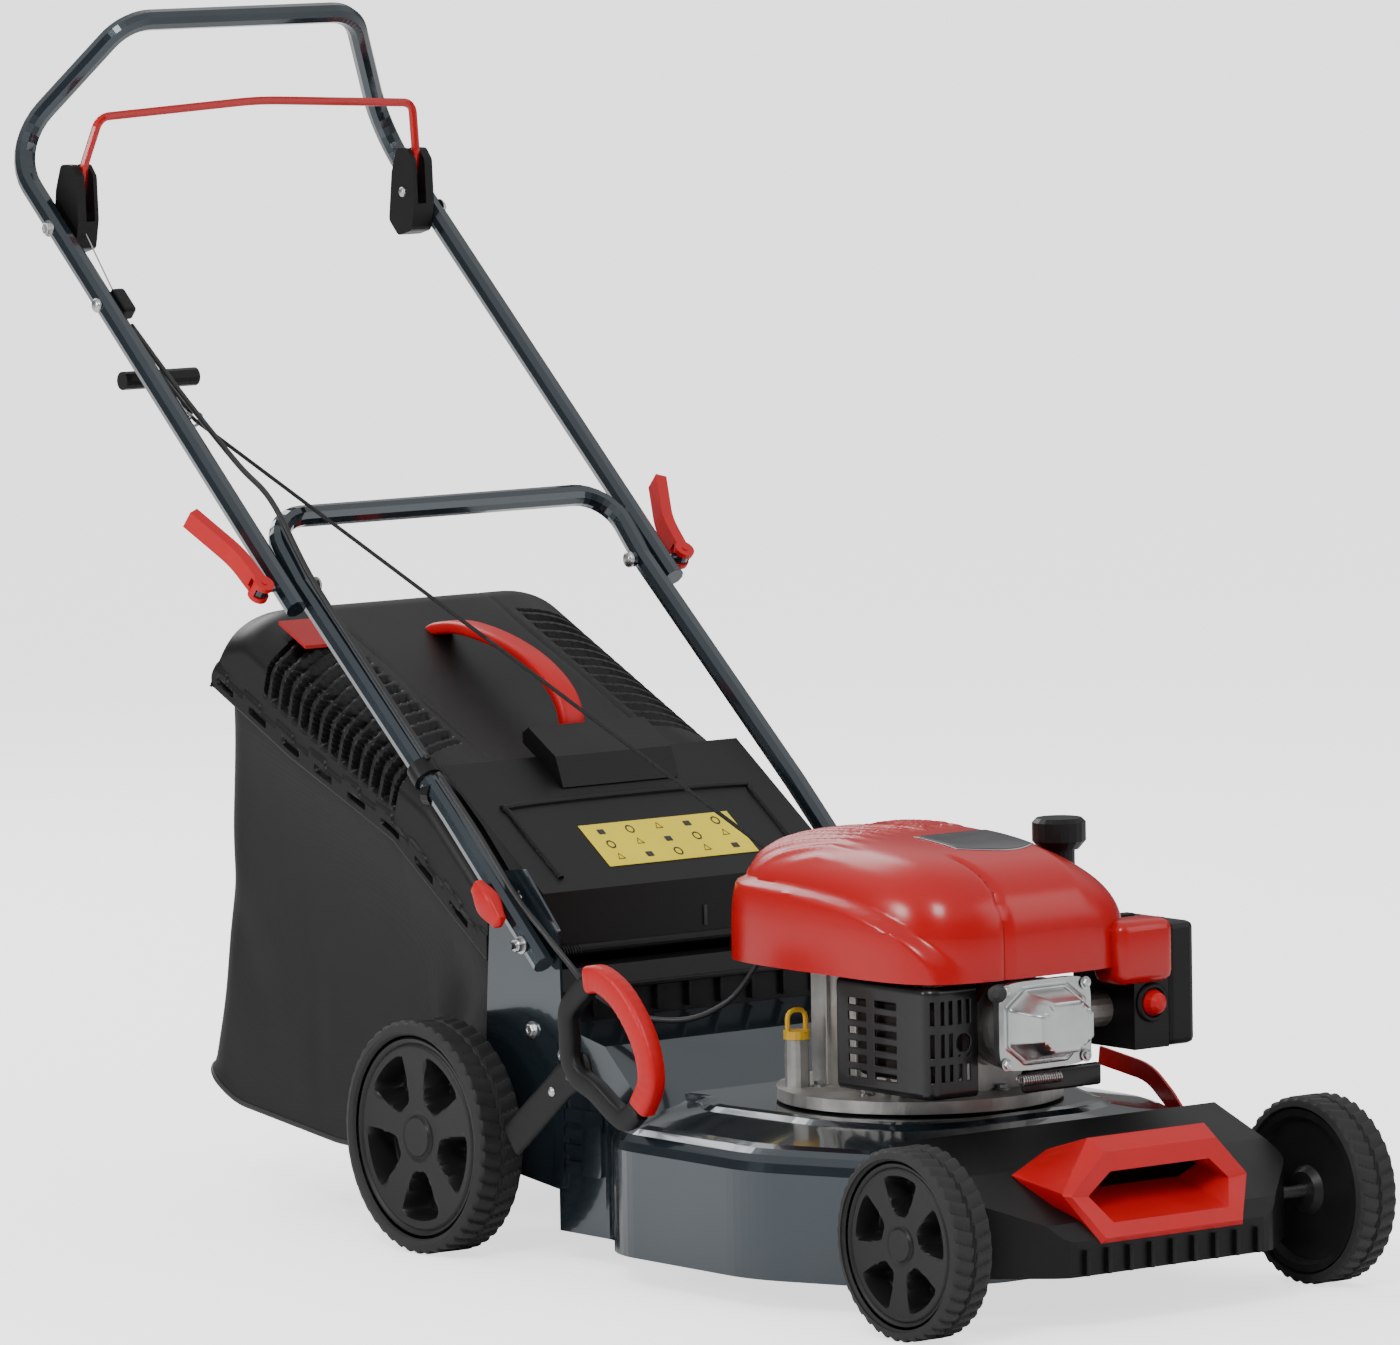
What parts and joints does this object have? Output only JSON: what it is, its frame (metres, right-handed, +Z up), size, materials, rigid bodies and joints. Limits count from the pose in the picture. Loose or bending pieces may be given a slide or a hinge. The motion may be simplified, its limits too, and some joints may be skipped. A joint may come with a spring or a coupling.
{
  "type": "push lawn mower",
  "caption": "Walk-behind petrol mower: steel deck, red-shrouded engine, folding tube handle with brake bail, rear fabric grass catcher and four spoked plastic wheels.",
  "frame": {"origin": "on the ground, under the middle of the machine's bounding box", "axes": "+Z up, -Y towards the front of the mower, +X towards the operator's left"},
  "size_m": [0.5974, 1.5544, 1.2009],
  "materials": {
    "steel_paint": "dark blue-grey metallic gloss paint",
    "black_plastic": "fine-grained matt moulding",
    "red_plastic": "satin moulding",
    "red_paint": "bright gloss paint",
    "tyre": "ribbed tread",
    "rim": "satin moulding",
    "aluminium": "die cast, slightly rough",
    "zinc": "zinc plated",
    "rubber": "smooth black",
    "fabric": "coarse woven polyester",
    "yellow_plastic": "smooth moulding"
  },
  "bodies": {
    "root": {"deck": "steel_paint", "discharge_chute": "black_plastic", "fascia": "black_plastic", "carry_handle": "red_plastic", "handle_bracket_left": "steel_paint", "handle_bracket_right": "steel_paint", "height_rack": "steel_paint", "engine_block": "aluminium", "cylinder": "aluminium", "rocker_cover": "zinc", "shroud": "red_paint", "muffler": "zinc", "muffler_guard": "black_plastic", "carburettor": "aluminium", "air_box": "black_plastic", "fuel_tank": "black_plastic", "spark_plug_boot": "rubber", "starter_rope_lower": "rubber", "brake_cable_lower": "rubber"},
    "front_axle": {"front_axle": "zinc"},
    "rear_axle": {"rear_axle": "zinc"},
    "front_wheel_left": {"front_wheel_left_rim": "rim", "front_wheel_left_tyre": "tyre"},
    "front_wheel_right": {"front_wheel_right_rim": "rim", "front_wheel_right_tyre": "tyre"},
    "rear_wheel_left": {"rear_wheel_left_rim": "rim", "rear_wheel_left_tyre": "tyre"},
    "rear_wheel_right": {"rear_wheel_right_rim": "rim", "rear_wheel_right_tyre": "tyre"},
    "crank": {"crankshaft": "zinc", "flywheel": "aluminium", "blade": "zinc", "blade_bolt": "zinc"},
    "lower_handle": {"lower_handle": "steel_paint", "cable_clip": "black_plastic", "starter_rope_upper": "rubber", "brake_cable_upper": "rubber"},
    "upper_handle": {"upper_handle": "steel_paint", "bail_bracket_left": "black_plastic", "bail_bracket_right": "black_plastic", "cable_stop": "black_plastic", "rope_guide": "zinc"},
    "bail": {"bail": "red_paint"},
    "quick_release_left": {"quick_release_left": "red_plastic"},
    "quick_release_right": {"quick_release_right": "red_plastic"},
    "wing_knob_left": {"wing_knob_left": "red_plastic"},
    "wing_knob_right": {"wing_knob_right": "red_plastic"},
    "starter_grip": {"starter_grip": "black_plastic"},
    "discharge_flap": {"discharge_flap": "black_plastic"},
    "catcher": {"catcher_lid": "black_plastic", "catcher_bag": "fabric", "catcher_handle": "red_plastic"},
    "fill_indicator": {"fill_indicator": "red_plastic"},
    "height_lever": {"height_lever": "black_plastic", "height_lever_grip": "red_plastic"},
    "side_cover": {"side_cover": "red_paint"},
    "air_filter_cover": {"air_filter_cover": "black_plastic"},
    "primer_bulb": {"primer_bulb": "red_plastic"},
    "fuel_cap": {"fuel_cap": "black_plastic"},
    "dipstick": {"dipstick": "yellow_plastic"}
  },
  "joints": [
    {"name": "rear_axle_swing", "type": "hinge", "parent": "root", "child": "rear_axle", "pos_m": [0, 0.0145, 0.115], "axis": [1, 0, 0], "range_deg": [-24, 24]},
    {"name": "front_axle_swing", "type": "hinge", "parent": "root", "child": "front_axle", "pos_m": [0, -0.6375, 0.09], "axis": [1, 0, 0], "range_deg": [-24, 24]},
    {"name": "height_lever_turn", "type": "hinge", "parent": "root", "child": "height_lever", "pos_m": [-0.2565, -0.088, 0.128], "axis": [1, 0, 0], "range_deg": [-12, 12]},
    {"name": "front_wheel_left_spin", "type": "hinge", "parent": "front_axle", "child": "front_wheel_left", "pos_m": [0.2465, -0.6825, 0.09], "axis": [1, 0, 0], "continuous": true},
    {"name": "front_wheel_right_spin", "type": "hinge", "parent": "front_axle", "child": "front_wheel_right", "pos_m": [-0.2465, -0.6825, 0.09], "axis": [1, 0, 0], "continuous": true},
    {"name": "rear_wheel_left_spin", "type": "hinge", "parent": "rear_axle", "child": "rear_wheel_left", "pos_m": [0.2515, 0.0595, 0.115], "axis": [1, 0, 0], "continuous": true},
    {"name": "rear_wheel_right_spin", "type": "hinge", "parent": "rear_axle", "child": "rear_wheel_right", "pos_m": [-0.2515, 0.0595, 0.115], "axis": [1, 0, 0], "continuous": true},
    {"name": "crank_spin", "type": "hinge", "parent": "root", "child": "crank", "pos_m": [0, -0.3875, 0.0535], "axis": [0, 0, 1], "continuous": true},
    {"name": "handle_tilt", "type": "hinge", "parent": "root", "child": "lower_handle", "pos_m": [0, -0.055, 0.31], "axis": [1, 0, 0], "range_deg": [-8, 8], "deforming": ["starter_rope_lower", "brake_cable_lower", "starter_rope_upper"]},
    {"name": "handle_fold", "type": "hinge", "parent": "lower_handle", "child": "upper_handle", "pos_m": [0, 0.3175, 0.636], "axis": [1, 0, 0], "range_deg": [0, 135], "deforming": ["starter_rope_upper", "brake_cable_upper"]},
    {"name": "bail_squeeze", "type": "hinge", "parent": "upper_handle", "child": "bail", "pos_m": [0, 0.702, 1], "axis": [1, 0, 0], "range_deg": [-22, 0], "stiffness_Nm_per_rad": 1.5, "springref_deg": 34.38},
    {"name": "quick_release_left_open", "type": "hinge", "parent": "upper_handle", "child": "quick_release_left", "pos_m": [0.2632, 0.3175, 0.636], "axis": [0, 0.6679, -0.7443], "range_deg": [0, 100]},
    {"name": "quick_release_right_open", "type": "hinge", "parent": "upper_handle", "child": "quick_release_right", "pos_m": [-0.2632, 0.3175, 0.636], "axis": [0, -0.6679, 0.7443], "range_deg": [0, 100]},
    {"name": "wing_knob_left_turn", "type": "hinge", "parent": "lower_handle", "child": "wing_knob_left", "pos_m": [0.2252, -0.01447, 0.34718], "axis": [1, 0, 0], "range_deg": [0, 720]},
    {"name": "wing_knob_right_turn", "type": "hinge", "parent": "lower_handle", "child": "wing_knob_right", "pos_m": [-0.2252, -0.01447, 0.34718], "axis": [-1, 0, 0], "range_deg": [0, 720]},
    {"name": "starter_pull", "type": "slide", "parent": "upper_handle", "child": "starter_grip", "axis": [0, 0.8486, 0.5291], "range_m": [0, 0.45], "stiffness_N_per_m": 4, "springref_m": -0.6, "deforming": ["starter_rope_upper"]},
    {"name": "flap_lift", "type": "hinge", "parent": "root", "child": "discharge_flap", "pos_m": [0, -0.033, 0.296], "axis": [1, 0, 0], "range_deg": [0, 28], "stiffness_Nm_per_rad": 0.4, "springref_deg": -28.65},
    {"name": "catcher_pull", "type": "slide", "parent": "root", "child": "catcher", "axis": [0, 1, 0], "range_m": [0, 0.3]},
    {"name": "fill_flap", "type": "hinge", "parent": "catcher", "child": "fill_indicator", "pos_m": [-0.148, 0.366, 0.56921], "axis": [1, 0, 0], "range_deg": [0, 25]},
    {"name": "side_cover_lift", "type": "hinge", "parent": "root", "child": "side_cover", "pos_m": [0.2605, -0.385, 0.128], "axis": [0, 1, 0], "range_deg": [-30, 0], "stiffness_Nm_per_rad": 0.3, "springref_deg": 20.05},
    {"name": "air_filter_cover_open", "type": "hinge", "parent": "root", "child": "air_filter_cover", "pos_m": [0.1483, -0.53725, 0.344], "axis": [0, -1, 0], "range_deg": [0, 95]},
    {"name": "primer_press", "type": "slide", "parent": "root", "child": "primer_bulb", "axis": [0, 1, 0], "range_m": [0, 0.006], "stiffness_N_per_m": 300, "springref_m": -0.002},
    {"name": "fuel_cap_turn", "type": "hinge", "parent": "root", "child": "fuel_cap", "pos_m": [0.112, -0.466, 0.4085], "axis": [0, 0, 1], "range_deg": [0, 90]},
    {"name": "dipstick_turn", "type": "hinge", "parent": "root", "child": "dipstick", "pos_m": [-0.1, -0.325, 0.232], "axis": [0, 0, 1], "range_deg": [0, 90]}
  ],
  "couplings": [
    {"joint": "rear_axle_swing", "follows": "height_lever_turn", "ratio": 2},
    {"joint": "front_axle_swing", "follows": "height_lever_turn", "ratio": -2}
  ]
}
